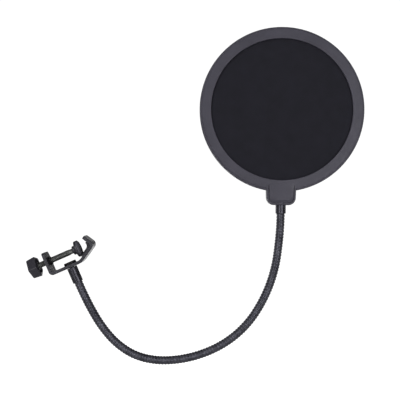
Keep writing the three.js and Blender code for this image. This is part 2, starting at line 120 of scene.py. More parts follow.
TAB_SCREW_HEAD_R, TAB_SCREW_SHANK_R = 2.3, 1.2
TAB_SCREW_TIP, TAB_SCREW_SEAT, TAB_SCREW_TOP = -3.0, 4.05, 5.5
WELL_FLOOR, WELL_TOP = 4, 9

# gooseneck and ferrules
NECK_R = 4.0
RIB_PITCH = 2.83
RIB_DEPTH = 0.6
NECK_SIDES = 32
RINGS_PER_PITCH = 14
FERRULE_R = 4.85
FERRULE_LENGTH = 14.8
FERRULE_IN_TAB = 6.9                  # length of the upper ferrule held in the tab
FERRULE_SOCKET = 7.5                  # depth of the neck's socket
FERRULE_BORE_R = 2.6                  # for the bolt
SOCKET_GAP, TAB_SOCKET_GAP, TAB_SOCKET_END_GAP = 0.08, 0.12, 0.3
UPPER_MOUTH = TAB_BOTTOM - FERRULE_LENGTH + FERRULE_IN_TAB
SOCKET_REACH = 3.0                    # how far the ribs are drawn inside a ferrule
CLAMP_GAP = 0.3                       # between the strip and the lower ferrule

# clamp: U runs along the screw towards the hook, V square to it
STRIP_THICKNESS = 3.0
STRIP_WIDTH = 18.5
STRIP_EDGE = 0.45
LEG_U, LEG_TOP_V = -37.1, 9.35
BASE_V = -12.05
HOOK_VERTEX = (9.2, -1.9)
LOWER_ARM, UPPER_ARM = 31.0, 120.5    # degrees from U
UPPER_ARM_LENGTH = 11.6
BENDS = (1.0, 10.0, 1.9)              # inside radii
END_CORNERS = (3.5, 2.5)              # of the leg's end and of the hook's tip
LINING_THICKNESS = 1.1
LINING_EXTRA = 0.28                   # of the lining's thickness over the CAD's
LINING_ARC = 3.8
LINING_INSET, LINING_EDGE = 0.25, 0.3
LINING_REACH = (10.6, 6.5)            # from the hook's vertex along the lower and the upper arm
LINING_TAIL = [(15.0, 0.3), (13.6, 0.85)]  # (reach, rise) where it thins out behind the pad
NECK_MOUNT_U = -18.8
BOLT_R, BOLT_LENGTH = 2.45, 10
BORE_GAP = 0.25                       # round the screw and the bolt where they pass the strip
SCREW_R, SCREW_ROOT_R, THREAD_PITCH = 2.85, 2.55, 1.0
SCREW_SEGMENTS, STATIONS_PER_PITCH = 28, 10
SCREW_IN_KNOB = 3.0
THREAD_RUNOUT = 1.5                   # pitches over which the thread fades at its end
THREAD_END, SHANK_R = -14.6, 2.4
TIP_R = 1.7
TIP_U = -8.4
KNOB_BACK, KNOB_FRONT = -55.4, -46.9
KNOB_R, KNOB_SIDES, KNOB_CORNER, KNOB_TURN = 10.75, 5, 2.2, -6.0
KNOB_BACK_SCALE = 0.91
KNOB_HUB_R, KNOB_RECESS_R, KNOB_RECESS_DEPTH = 4.0, 7.0, 2.2
KNOB_SEGMENTS = 240
KNOB_DISH_R, KNOB_DISH_DEPTH = 5.3, 0.5
KNOB_BACK_EDGE, KNOB_FRONT_EDGE = 0.8, 0.6
PAD_HUB, PAD_HUB_R = -11.5, 4.3
PAD_BACK, PAD_FRONT, PAD_R = -8.2, -6.0, 7.8
PAD_FACE, PAD_FACE_R = -4.0, 6.5
PAD_HUB_GAP = 0.15                    # round the screw's tip
GRIP_RADII, GRIP_DEPTH = (5.2, 3.2), 0.25  # of the two grooves in the rubber
GRIP_TOP, GRIP_FLOOR = 0.35, 0.15     # half their width at the face and at the floor
NUT_R, NUT_HEIGHT = 4.1, 2.1
BOLT_HEAD_R, BOLT_HEAD_HEIGHT = 5.9, 2.4

# ---------- frames ----------


def centre_of(node):
    low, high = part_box(node)
    return (low + high) / 2


def frame_matrix(origin, across, up):
    """From millimetres along across, Y and up, about an origin in metres, to the row frame."""
    turn = Matrix((across, UP_Y, up)).transposed().to_4x4()
    return Matrix.Translation(origin) @ turn @ Matrix.Scale(MM, 4)


joints = {joint["name"]: joint for joint in frame["joints"]}
screw_axis = Vector(joints["pad_travel"]["axis"]).normalized()
clamp_up = Vector((-screw_axis.z, 0, screw_axis.x))
clamp_frame = frame_matrix(Vector((0, 0, 0)), screw_axis, clamp_up)

hoop_centre = (centre_of("front_mesh") + centre_of("rear_mesh")) / 2
hoop_across = (centre_of("tab_screw_right") - centre_of("tab_screw_left")).normalized()
hoop_up = Vector((-hoop_across.z, 0, hoop_across.x))
hoop_frame = frame_matrix(hoop_centre, hoop_across, hoop_up)

# ---------- mesh helpers ----------


def rounded(corners, radii, steps=6, closed=False):
    """Points along a polyline whose corners are rounded. A radius of 0 keeps a corner sharp."""
    corners = [Vector(p) for p in corners]
    count = len(corners)
    path = []
    for i, (here, radius) in enumerate(zip(corners, radii)):
        if radius == 0 or (not closed and i in (0, count - 1)):
            path.append(here)
            continue
        back = (corners[i - 1] - here).normalized()
        ahead = (corners[(i + 1) % count] - here).normalized()
        half = math.acos(max(-1.0, min(1.0, back.dot(ahead)))) / 2
        middle = here + (back + ahead).normalized() * (radius / math.sin(half))
        first = here + back * (radius / math.tan(half)) - middle
        last = here + ahead * (radius / math.tan(half)) - middle
        sweep = math.atan2(first.x * last.y - first.y * last.x, first.dot(last))
        for k in range(steps + 1):
            angle = sweep * k / steps
            c, s = math.cos(angle), math.sin(angle)
            path.append(middle + Vector((first.x * c - first.y * s, first.x * s + first.y * c)))
    return path


def turned(section, steps, closed=False):
    """The profile through corners given as (radius, height, rounding)."""
    return rounded([corner[:2] for corner in section], [corner[2] for corner in section], steps, closed)


def offset(corners, distance):
    """The corners of a polyline moved to its left."""
    points = [Vector(p) for p in corners]
    normals = []
    for a, b in zip(points, points[1:]):
        along = (b - a).normalized()
        normals.append(Vector((-along.y, along.x)))
    moved = []
    for i, point in enumerate(points):
        before = normals[max(i - 1, 0)]
        after = normals[min(i, len(normals) - 1)]
        miter = (before + after).normalized()
        moved.append(point + miter * (distance / miter.dot(before)))
    return moved


def grid_faces(rows, columns, wrap_rows=False):
    """Quads of a grid of points whose columns close on themselves."""
    faces = []
    for i in range(rows if wrap_rows else rows - 1):
        for j in range(columns):
            k = (j + 1) % columns
            n = (i + 1) % rows
            faces.append((i * columns + j, i * columns + k, n * columns + k, n * columns + j))
    return faces


def build(name, points, faces, matrix, sharp=32.0, join=1e-3):
    """An object of one mesh from points in a frame's millimetres, its faces turned outwards."""
    mesh = bpy.data.meshes.new(name)
    mesh.from_pydata([tuple(p) for p in points], [], faces)
    work = bmesh.new()
    work.from_mesh(mesh)
    bmesh.ops.remove_doubles(work, verts=work.verts, dist=join)
    bmesh.ops.dissolve_degenerate(work, edges=work.edges, dist=1e-5)
    work.transform(matrix)
    bmesh.ops.recalc_face_normals(work, faces=work.faces)
    work.to_mesh(mesh)
    work.free()
    mesh.shade_smooth()
    mesh.set_sharp_from_angle(angle=math.radians(sharp))
    piece = bpy.data.objects.new(name, mesh)
    bpy.context.scene.collection.objects.link(piece)
    return piece


def loft(name, rings, matrix, closed=False, **options):
    """A skin over rings of the same number of points. Capped at both ends, or closed on itself."""
    columns = len(rings[0])
    points = [p for ring in rings for p in ring]
    faces = grid_faces(len(rings), columns, closed)
    if not closed:
        faces.append(tuple(range(columns)))
        faces.append(tuple(range(len(points) - columns, len(points))))
    return build(name, points, faces, matrix, **options)


def circle(radius, height, segments, axis):
    """A ring of points about one of a frame's three axes."""
    ring = []
    for k in range(segments):
        angle = 2 * math.pi * k / segments
        a, b = radius * math.cos(angle), radius * math.sin(angle)
        ring.append({"x": (height, a, b), "y": (a, height, b), "z": (a, b, height)}[axis])
    return ring


def lathe(name, profile, matrix, axis="y", segments=64, centre=(0, 0, 0), closed=False, **options):
    """A solid of revolution from (radius, height) points about an axis through centre."""
    rings = [circle(max(r, 1e-5), h, segments, axis) for r, h in profile]
    rings = [[tuple(np.add(p, centre)) for p in ring] for ring in rings]
    return loft(name, rings, matrix, closed=closed, **options)


def prism(name, outline, low, high, matrix, **options):
    """An outline in the frame's first and third directions, given thickness along Y."""
    rings = [[(p[0], y, p[1]) for p in outline] for y in (low, high)]
    return loft(name, rings, matrix, **options)


def modify(piece, kind, **settings):
    """Add one modifier and apply it to the piece's mesh."""
    modifier = piece.modifiers.new(kind.title(), kind)
    for key, value in settings.items():
        setattr(modifier, key, value)
    depsgraph = bpy.context.evaluated_depsgraph_get()
    depsgraph.update()
    old = piece.data
    piece.data = bpy.data.meshes.new_from_object(piece.evaluated_get(depsgraph), depsgraph=depsgraph)
    piece.data.name = piece.name
    piece.modifiers.clear()
    bpy.data.meshes.remove(old)
    return piece


def combine(piece, operation, *tools):
    """Join or cut a piece with other pieces, which are used up."""
    for tool in tools:
        modify(piece, "BOOLEAN", operation=operation, solver="EXACT", object=tool)
        bpy.data.objects.remove(tool)
    return piece


def crisp(piece, angle=32.0):
    """Sharp edges by angle, and normals that leave the flat faces flat."""
    piece.data.shade_smooth()
    piece.data.set_sharp_from_angle(angle=math.radians(angle))
    modifier = piece.modifiers.new("Normals", "WEIGHTED_NORMAL")
    modifier.keep_sharp = True
    return piece


# ---------- materials ----------


class Paint:
    """A node material built round one Principled shader, on the piece's own coordinates."""

    def __init__(self, name, roughness=0.5, metallic=0.0, specular=0.5):
        self.material = bpy.data.materials.new(name)
        self.material.use_nodes = True
        self.tree = self.material.node_tree
        self.shader = self.tree.nodes["Principled BSDF"]
        self.shader.inputs["Roughness"].default_value = roughness
        self.shader.inputs["Metallic"].default_value = metallic
        self.shader.inputs["Specular IOR Level"].default_value = specular
        self.coordinates = self.tree.nodes.new("ShaderNodeTexCoord").outputs["Object"]

    def node(self, kind, inputs=None, **settings):
        made = self.tree.nodes.new(kind)
        for key, value in settings.items():
            setattr(made, key, value)
        for key, value in (inputs or {}).items():
            if isinstance(value, bpy.types.NodeSocket):
                self.tree.links.new(value, made.inputs[key])
            else:
                made.inputs[key].default_value = value
        return made

    def link(self, socket, name):
        self.tree.links.new(socket, self.shader.inputs[name])

    def noise(self, scale, detail=2.0, roughness=0.5):
        """Noise with features of about 1 / scale metres."""
        inputs = {"Vector": self.coordinates, "Scale": scale, "Detail": detail, "Roughness": roughness}
        return self.node("ShaderNodeTexNoise", inputs).outputs["Fac"]

    def math(self, operation, a, b=0.0):
        return self.node("ShaderNodeMath", {0: a, 1: b}, operation=operation).outputs[0]

    def span(self, value, low, high, to_low=0.0, to_high=1.0):
        inputs = {"Value": value, "From Min": low, "From Max": high, "To Min": to_low, "To Max": to_high}
        return self.node("ShaderNodeMapRange", inputs).outputs["Result"]

    def blend(self, share, first, second):
        mix = self.node("ShaderNodeMix", data_type="RGBA")
        self.tree.links.new(share, mix.inputs[0])
        for index, value in ((6, first), (7, second)):
            if isinstance(value, bpy.types.NodeSocket):
                self.tree.links.new(value, mix.inputs[index])
            else:
                mix.inputs[index].default_value = (*value, 1)
        return mix.outputs[2]

    def worn_edge(self):
        """Near 1 on convex edges, from the mesh's own curvature."""
        point = self.node("ShaderNodeNewGeometry").outputs["Pointiness"]
        return self.span(point, 0.52, 0.6)

    def bump(self, height, distance, strength):
        made = self.node("ShaderNodeBump", {"Height": height, "Distance": distance, "Strength": strength})
        self.link(made.outputs[0], "Normal")


# grains in features to the metre, depths and the pitch in metres
PLASTIC_GRAIN, PLASTIC_DEPTH = 2600.0, 0.00005
RUBBER_GRAIN, RUBBER_DEPTH = 1400.0, 0.00008
STEEL_GRAIN, STEEL_DEPTH = 900.0, 0.00004
WEAVE_PITCH, WEAVE_DEPTH = 0.0009, 0.00012


def moulded(name, dark, light, roughness, grain=PLASTIC_GRAIN, depth=PLASTIC_DEPTH):
    """Moulded plastic: a fine spark-eroded grain and faint flow marks."""
    paint = Paint(name, roughness)
    flow = paint.noise(60.0, 3.0)
    fine = paint.noise(grain, 3.0, 0.6)
    tint = paint.math("ADD", paint.math("MULTIPLY", flow, 0.6), paint.math("MULTIPLY", fine, 0.4))
    paint.link(paint.blend(paint.span(tint, 0.35, 0.65), dark, light), "Base Color")
    gloss = paint.span(paint.noise(240.0, 3.0), 0.3, 0.7, roughness - 0.05, roughness + 0.06)
    paint.link(gloss, "Roughness")
    paint.bump(fine, depth, 0.5)
    return paint.material


def plated(name, dark, light, roughness, metallic, wear=0.5):
    """Coated or plated steel: soft mottling, fine pits and a slightly brighter wear on edges."""
    paint = Paint(name, roughness, metallic)
    mottle = paint.noise(180.0, 4.0, 0.6)
    base = paint.blend(paint.span(mottle, 0.35, 0.65), dark, light)
    worn = tuple(min(1.0, c * 1.7 + 0.02) for c in light)
    rub = paint.math("MULTIPLY", paint.worn_edge(), paint.span(paint.noise(700.0), 0.35, 0.7))
    paint.link(paint.blend(paint.math("MULTIPLY", rub, wear), base, worn), "Base Color")
    pits = paint.noise(STEEL_GRAIN)
    paint.link(paint.span(mottle, 0.3, 0.7, roughness - 0.06, roughness + 0.08), "Roughness")
    paint.bump(pits, STEEL_DEPTH, 0.35)
    return paint.material


def wound(name, dark, light, roughness, metallic):
    """Plated steel wire wound into a tube, with painted shade darkening the grooves between its turns."""
    paint = Paint(name, roughness, metallic)
    mottle = paint.noise(180.0, 4.0, 0.6)
    base = paint.blend(paint.span(mottle, 0.35, 0.65), dark, light)
    # painted shade: the grooves between the turns are painted near black, found from the mesh's curvature,
    # in place of the shade that falls in them
    point = paint.node("ShaderNodeNewGeometry").outputs["Pointiness"]
    groove = tuple(c * 0.12 for c in dark)
    paint.link(paint.blend(paint.span(point, 0.44, 0.5), groove, base), "Base Color")
    paint.link(paint.span(mottle, 0.3, 0.7, roughness - 0.06, roughness + 0.08), "Roughness")
    paint.bump(paint.noise(STEEL_GRAIN), STEEL_DEPTH, 0.35)
    return paint.material


def woven(name, dark, light, pitch):
    """Plain-woven nylon: over and under threads in both directions, with a soft sheen."""
    paint = Paint(name, 0.8, 0.0, 0.25)
    shader = paint.shader
    shader.inputs["Sheen Weight"].default_value = 0.12
    shader.inputs["Sheen Roughness"].default_value = 0.5
    place = paint.node("ShaderNodeSeparateXYZ", {"Vector": paint.coordinates})
    turns = 2 * math.pi / pitch
    waves = []
    for axis in ("X", "Z"):
        half = paint.math("MULTIPLY", place.outputs[axis], turns / 2)
        across = paint.math("ABSOLUTE", paint.math("SINE", half))
        waves.append((across, half))
    over = paint.math("MULTIPLY", paint.math("COSINE", waves[0][1]), paint.math("COSINE", waves[1][1]))
    warp = paint.math("MULTIPLY", waves[0][0], paint.span(over, -1.0, 1.0, 0.6, 1.0))
    weft = paint.math("MULTIPLY", waves[1][0], paint.span(over, -1.0, 1.0, 1.0, 0.6))
    thread = paint.math("MAXIMUM", warp, weft)
    slub = paint.span(paint.noise(90.0, 3.0), 0.3, 0.7, 0.85, 1.12)
    share = paint.math("MULTIPLY", paint.math("POWER", thread, 2.0), slub)
    paint.link(paint.blend(share, dark, light), "Base Color")
    paint.bump(thread, WEAVE_DEPTH, 0.8)
    return paint.material


hoop_plastic = moulded("hoop_plastic", (0.049, 0.046, 0.066), (0.066, 0.062, 0.087), 0.5)
spacer_plastic = moulded("spacer_plastic", (0.012, 0.012, 0.014), (0.02, 0.02, 0.023), 0.55)
knob_plastic = moulded("knob_plastic", (0.028, 0.026, 0.037), (0.042, 0.040, 0.053), 0.42)
nylon = woven("nylon_mesh", (0.004, 0.004, 0.0065), (0.023, 0.022, 0.035), WEAVE_PITCH)
neck_steel = wound("gooseneck_steel", (0.07, 0.07, 0.088), (0.13, 0.13, 0.158), 0.36, 0.75)
ferrule_steel = plated("black_ferrule", (0.04, 0.039, 0.05), (0.075, 0.073, 0.09), 0.28, 0.75)
clamp_steel = plated("black_clamp_steel", (0.036, 0.035, 0.044), (0.056, 0.055, 0.067), 0.38, 0.3)
bolt_steel = plated("black_bolt_steel", (0.008, 0.008, 0.009), (0.016, 0.016, 0.018), 0.42, 0.5)
screw_steel = plated("plated_screw_steel", (0.15, 0.155, 0.15), (0.17, 0.175, 0.168), 0.4, 0.85,
                     wear=0.05)
rubber = moulded("rubber", (0.014, 0.014, 0.018), (0.022, 0.022, 0.028), 0.7,
                 RUBBER_GRAIN, RUBBER_DEPTH)
# painted light: a lightened copy of the rubber, in place of the light that falls on the pad's facing
lit_pad_rubber_paint = moulded("pad_rubber", (0.09, 0.088, 0.108), (0.12, 0.118, 0.14), 0.7,
                           RUBBER_GRAIN, RUBBER_DEPTH)


def finish_piece(piece, material, body, node):
    """Give a piece its material and slot, let it ride on a body and stand for a CAD node."""
    piece.data.materials.clear()
    piece.data.materials.append(material)
    if body:
        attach(piece, body)
    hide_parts(node)
    return piece


# ---------- hoop ----------


def shell_profile(side):
    """Half of the hoop's section, from the lip to the parting line, as (radius, depth)."""
    inner = [(CAVITY_R, PARTING, 0)]
    if side < 0:
        inner = [(HOOP_R - TONGUE_INSET, PARTING, 0), (HOOP_R - TONGUE_INSET, -TONGUE, 0),
                 (CAVITY_R, -TONGUE, 0)]
    outer_wall = GROOVE_R + GROOVE_WIDTH
    floor_depth = HALF_DEPTH - GROOVE_DEPTH
    section = [
        (CAVITY_R, LIP_BACK, 0), (WINDOW_R, LIP_BACK, 0.15), (WINDOW_R, HALF_DEPTH, WINDOW_ROUNDING),
        (GROOVE_R, HALF_DEPTH, 0.15), (GROOVE_R + GROOVE_DRAFT, floor_depth, 0.1),
        (outer_wall - GROOVE_DRAFT, floor_depth, 0.1), (outer_wall, HALF_DEPTH - GROOVE_DROP, 0.12),
        (HOOP_R, HALF_DEPTH - RIM_DROP, RIM_ROUNDING), (HOOP_R, PARTING, 0.25)]
    return turned(section + inner, 6, closed=True)


def hanging_outline(top, bottom, top_half, bottom_half, corner):
    """A plate's outline down one side, round both lower corners and up the other side."""
    corners = [(-top_half, top), (-bottom_half, bottom), (bottom_half, bottom), (top_half, top)]
    return rounded(corners, [0, corner, corner, 0], 8)


def edge_steps(radius, steps=4):
    """(inset, drop) pairs that round an edge over."""
    angles = [math.pi / 2 * k / steps for k in range(steps + 1)]
    return [(radius * (1 - math.sin(a)), radius * (1 - math.cos(a))) for a in angles]


def tab_flange(side):
    """The tab's base plate: its face all but flush with the hoop's, its edge rounded over."""
    face = HALF_DEPTH + APART
    seam = face - PARTING - TAB_SEAM
    steps = [(0, seam)] + edge_steps(TAB_EDGE)[::-1]
    if side < 0:
        inset = TONGUE_INSET + TAB_TONGUE_STEP
        steps = [(inset, face + TONGUE - TAB_SEAM), (inset, seam)] + steps
    rings = []
    for inset, drop in steps:
        outline = hanging_outline(
            TAB_TOP, TAB_BOTTOM + inset, TAB_TOP_HALF - inset, TAB_BOTTOM_HALF - inset, TAB_CORNER - inset)
        rings.append([(x, side * (face - drop), z) for x, z in outline])
    r, depth = CAVITY_R + CAVITY_MARGIN[0], side * (LIP_BACK + CAVITY_MARGIN[1])
    profile = [(0, -side), (r, -side), (r, depth), (0, depth)]
    cavity = lathe("cavity", profile, hoop_frame, segments=SHELL_SEGMENTS)
    return combine(loft("flange", rings, hoop_frame), "DIFFERENCE", cavity)


def panel_height(x, z):
    """Depth of the raised panel's crowned face at a point. It rises from nothing at the window."""
    down = (PANEL_TOP - z) / (PANEL_TOP - PANEL_BOTTOM)
    crown = PANEL_CROWN * (1 - (x / PANEL_HALF) ** 2)
    return HALF_DEPTH + APART + down * (PANEL_RISE - PANEL_CROWN + crown)


def panel_outline(inset, top=PANEL_TOP):
    """The panel's outline, drawn in from its foot's."""
    return hanging_outline(top, PANEL_BOTTOM + inset, PANEL_HALF - inset,
                           PANEL_HALF - PANEL_TAPER - inset, PANEL_CORNER - inset)


def panel_groove(side):
    """A cutter for the groove that runs down both sides of the panel and under its foot."""
    outline = panel_outline(-PANEL_GROOVE, PANEL_GROOVE_TOP)
    low, high = HALF_DEPTH - PANEL_GROOVE_DEPTH, HALF_DEPTH + 1
    return prism("groove", outline, side * low, side * high, hoop_frame)


def tab_panel(side):
    """The raised panel over the ferrule: a drafted band all round it and a crowned face."""
    steps = ((0.0, None), (0.05, 0.12), (PANEL_SIDE, 0.72), (PANEL_SIDE + 0.12, 0.9),
             (PANEL_SIDE + PANEL_BAND, 1.0))
    rings = []
    for inset, share in steps:                    # share of the panel's height, None for its root
        ring = []
        for x, z in panel_outline(inset):
            rise = panel_height(x, z) - HALF_DEPTH
            level = HALF_DEPTH - PANEL_ROOT if share is None else HALF_DEPTH + share * rise
            ring.append((x, side * level, z))
        rings.append(ring)
    middle = (PANEL_TOP + PANEL_BOTTOM) / 2
    face = panel_outline(PANEL_SIDE + PANEL_BAND)
    for share in (0.8, 0.6, 0.4, 0.2, 0.05):      # drawn in towards the panel's middle
        ring = []
        for x, z in face:
            px, pz = x * share, middle + (z - middle) * share
            ring.append((px, side * panel_height(px, pz), pz))
        rings.append(ring)
    return loft("panel", rings, hoop_frame)


def hoop_shell(side, name, node):
    """One moulded shell: the ring, the tab's flange and its raised panel, cut for what is inside."""
    profile = [(r, side * d) for r, d in shell_profile(side)]
    shell = lathe(name, profile, hoop_frame, segments=SHELL_SEGMENTS, closed=True, sharp=40)
    combine(shell, "UNION", tab_flange(side))
    combine(shell, "DIFFERENCE", panel_groove(side))
    combine(shell, "UNION", tab_panel(side))
    r = FERRULE_R + TAB_SOCKET_GAP
    mouth, end = TAB_BOTTOM - 2, TAB_BOTTOM + FERRULE_IN_TAB + TAB_SOCKET_END_GAP
    socket = [(0, mouth), (r, mouth), (r, end), (0, end)]
    cutters = [lathe("socket", socket, hoop_frame, axis="z", segments=48)]
    if side > 0:
        well = [(0, WELL_FLOOR), (TAB_SCREW_HEAD_R + 0.3, WELL_FLOOR),
                (TAB_SCREW_HEAD_R + 0.45, WELL_TOP), (0, WELL_TOP)]
        for x in (-TAB_SCREW_X, TAB_SCREW_X):
            cutters.append(lathe("well", well, hoop_frame, centre=(x, 0, TAB_SCREW_Z), segments=40))
    combine(shell, "DIFFERENCE", *cutters)
    crisp(shell, 35)
    return finish_piece(shell, hoop_plastic, "hoop", node)


hoop_shell(-1, "hoop_front_shell", "front_hoop")
hoop_shell(1, "hoop_rear_shell", "rear_hoop")


def mesh_screen(side, name, node):
    """A stretched disc of woven nylon, held between its shell's lip and the spacer ring."""
    radii = np.linspace(MESH_EYE_R, MESH_R, MESH_RINGS), np.linspace(MESH_R, MESH_EYE_R, MESH_RINGS)
    depths = side * MESH_FACE, side * (MESH_FACE - MESH_THICKNESS)
    rings = []
    for face_radii, depth in zip(radii, depths):
        rings += [circle(radius, depth, MESH_SEGMENTS, "y") for radius in face_radii]
    piece = loft(name, rings, hoop_frame, sharp=50)
    finish_piece(piece, nylon, "hoop", node)


mesh_screen(-1, "front_screen", "front_mesh")
mesh_screen(1, "rear_screen", "rear_mesh")


def cross_recess(name, size, depth, matrix, top, axis, centre):
    """Two crossed tapered slots that cut a cross drive into a screw's head."""
    tools = []
    for turn in (0, 90):
        points = []
        for height, scale in ((top + 0.5, 1.0), (top - depth, 0.55)):
            half = size * 0.22
            for a, b in ((-size, -half), (size, -half), (size, half), (-size, half)):
                c, s = math.cos(math.radians(turn + 45)), math.sin(math.radians(turn + 45))
                p, q = (a * c - b * s) * scale, (a * s + b * c) * scale
                points.append({"y": (p, height, q), "z": (p, q, height)}[axis])
        points = [tuple(np.add(p, centre)) for p in points]
        faces = [(0, 1, 2, 3), (4, 5, 6, 7), (0, 1, 5, 4), (1, 2, 6, 5), (2, 3, 7, 6), (3, 0, 4, 7)]
        tools.append(build(name, points, faces, matrix))
    return tools


def tab_screw(x, name, node):
    """A pan-head screw that closes the tab from behind, with a cross drive."""
    section = [
        (0, TAB_SCREW_TIP, 0), (0.4, TAB_SCREW_TIP, 0), (TAB_SCREW_SHANK_R, TAB_SCREW_TIP + 1.1, 0),
        (TAB_SCREW_SHANK_R, TAB_SCREW_SEAT, 0), (TAB_SCREW_HEAD_R, TAB_SCREW_SEAT, 0.2),
        (TAB_SCREW_HEAD_R, TAB_SCREW_TOP, 0.9), (0, TAB_SCREW_TOP, 0)]
    centre = (x, 0, TAB_SCREW_Z)
    screw = lathe(name, turned(section, 5), hoop_frame, centre=centre, segments=40)
    drive = cross_recess("drive", 1.25, 0.8, hoop_frame, TAB_SCREW_TOP, "y", centre)
    combine(screw, "DIFFERENCE", *drive)
    crisp(screw)
    return finish_piece(screw, bolt_steel, "hoop", node)


tab_screw(-TAB_SCREW_X, "tab_screw_1", "tab_screw_left")
tab_screw(TAB_SCREW_X, "tab_screw_2", "tab_screw_right")

# the two pieces that nothing shows of keep their CAD shape
for inner_node, inner_material in (("mesh_spacer", spacer_plastic), ("anchor_bolt", bolt_steel)):
    for material_slot in frame["nodes"][inner_node].material_slots:
        material_slot.material = inner_material

# ---------- gooseneck ----------


class NeckLine:
    """The gooseneck's centreline: an arc between each hinge and the next, in metres in the X-Z plane."""

    def __init__(self, start, heading, points):
        self.arcs = []
        here, angle, reached = start, heading, 0.0
        for point in points:
            chord = point - here
            turn = 2 * (math.atan2(chord.y, chord.x) - angle)
            turn = (turn + math.pi) % (2 * math.pi) - math.pi
            length = chord.length * (turn / 2) / math.sin(turn / 2)
            self.arcs.append((reached, length, here, angle, turn))
            here, angle, reached = point, angle + turn, reached + length
        self.length = reached

    def at(self, s):
        """The point and heading at a distance along the line, straight beyond either end."""
        arc = self.arcs[0]
        for candidate in self.arcs:
            if s >= candidate[0]:
                arc = candidate
        reached, length, start, angle, turn = arc
        local = min(max(s - reached, 0.0), length)
        past = (s - reached) - local
        radius = length / turn
        now = angle + local / radius
        x = start.x + radius * (math.sin(now) - math.sin(angle)) + past * math.cos(now)
        z = start.y - radius * (math.cos(now) - math.cos(angle)) + past * math.sin(now)
        return Vector((x, z)), now


neck_joints = [joint for joint in frame["joints"] if joint["name"].startswith("neck_")]
lower_mouth = BASE_V - STRIP_THICKNESS / 2 - CLAMP_GAP - FERRULE_LENGTH
neck_start = clamp_frame @ Vector((NECK_MOUNT_U, 0, lower_mouth))
neck_end = hoop_frame @ Vector((0, 0, UPPER_MOUTH))
stops = [Vector((joint["pos_m"][0], joint["pos_m"][2])) for joint in neck_joints]
stops.append(Vector((neck_end.x, neck_end.z)))
down = -clamp_up
neck_line = NeckLine(Vector((neck_start.x, neck_start.z)), math.atan2(down.z, down.x), stops)


def rib_height(phase):
    """The outer shape of the wound wire over one pitch: a broad round crown and a narrow lower one."""
    phase = phase % 1.0
    broad = 1 - ((phase - 0.38) / 0.38) ** 2
    narrow = 0.3 * (1 - ((phase - 0.88) / 0.12) ** 2)
    return math.sqrt(max(broad, narrow, 0.0))


def neck_tube(name, start, end, rings):
    """The ribbed tube between two distances along the neck."""
    stations = []
    for i in range(rings + 1):
        s = start + (end - start) * i / rings
        point, heading = neck_line.at(s)
        normal = Vector((-math.sin(heading), 0, math.cos(heading)))
        ring = []
        for k in range(NECK_SIDES):
            angle = 2 * math.pi * k / NECK_SIDES
            phase = s / (RIB_PITCH * MM) - k / NECK_SIDES
            radius = (NECK_R - RIB_DEPTH * (1 - rib_height(phase))) * MM
            out = normal * math.cos(angle) + UP_Y * math.sin(angle)
            ring.append(Vector((point.x, 0, point.y)) + out * radius)
        stations.append(ring)
    return loft(name, stations, Matrix.Identity(4), sharp=60, join=1e-7)


ring_step = RIB_PITCH * MM / RINGS_PER_PITCH
middles = [arc[0] + arc[1] / 2 for arc in neck_line.arcs]


def neck_piece(name, start, end):
    """A length of the tube, with rings close enough together to draw the ribs."""
    return neck_tube(name, start, end, max(8, round((end - start) / ring_step)))


first = neck_piece("neck_base", -SOCKET_REACH * MM, middles[0])
finish_piece(first, neck_steel, "clamp", "neck_section_01")
for i, joint in enumerate(neck_joints):
    piece = neck_piece(f"neck_bend_{i + 1:02d}", middles[i], middles[i + 1])
    finish_piece(piece, neck_steel, None, f"neck_section_{i + 2:02d}")
    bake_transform(piece)
last = neck_piece("neck_top", middles[-1], neck_line.length + SOCKET_REACH * MM)
finish_piece(last, neck_steel, "hoop", "neck_section_16")


def ferrule(name, matrix, body, node):
    """A turned ferrule: its mouth at height 0, then the neck's socket and the bolt's bore."""
    socket_r = NECK_R + SOCKET_GAP
    section = [
        (socket_r, 0.0, 0.15), (FERRULE_R, 0.0, 0.3), (FERRULE_R, FERRULE_LENGTH, 0.4),
        (FERRULE_BORE_R, FERRULE_LENGTH, 0), (FERRULE_BORE_R, FERRULE_SOCKET, 0),
        (socket_r, FERRULE_SOCKET, 0)]
    piece = lathe(name, turned(section, 5, closed=True), matrix, axis="z", segments=64, closed=True)
    crisp(piece)
    return finish_piece(piece, ferrule_steel, body, node)


lower_frame = clamp_frame @ Matrix.Translation((NECK_MOUNT_U, 0, lower_mouth))
ferrule("ferrule_lower", lower_frame, "clamp", "lower_ferrule")
upper_frame = hoop_frame @ Matrix.Translation((0, 0, UPPER_MOUTH))
ferrule("ferrule_upper", upper_frame, "hoop", "upper_ferrule")

# ---------- clamp ----------


def strip_corners():
    """The corners of the strip's middle line: leg, base, lower arm and upper arm."""
    vertex_u, vertex_v = HOOK_VERTEX
    start_u = vertex_u - (vertex_v - BASE_V) / math.tan(math.radians(LOWER_ARM))
    arm = math.radians(UPPER_ARM)
    tip = (vertex_u + UPPER_ARM_LENGTH * math.cos(arm), vertex_v + UPPER_ARM_LENGTH * math.sin(arm))
    return [(LEG_U, LEG_TOP_V), (LEG_U, BASE_V), (start_u, BASE_V), HOOK_VERTEX, tip]


def spread_along(path, extra):
    """A polyline's points with further stations at distances from its start, or its end if negative."""
    reached = [0.0]
    for a, b in zip(path, path[1:]):
        reached.append(reached[-1] + (b - a).length)
    total = reached[-1]
    wanted = sorted(set(reached + [d if d >= 0 else total + d for d in extra]))
    points = []
    for d in wanted:
        i = min(max(np.searchsorted(reached, d, side="right") - 1, 0), len(path) - 2)
        share = (d - reached[i]) / (reached[i + 1] - reached[i])
        points.append((d, path[i].lerp(path[i + 1], share)))
    return points, total


def round_over(distance, radius):
    """How far a side stands in at a distance from a rounded end."""
    if distance >= radius:
        return 0.0
    return radius - math.sqrt(max(radius ** 2 - (radius - distance) ** 2, 0.0))


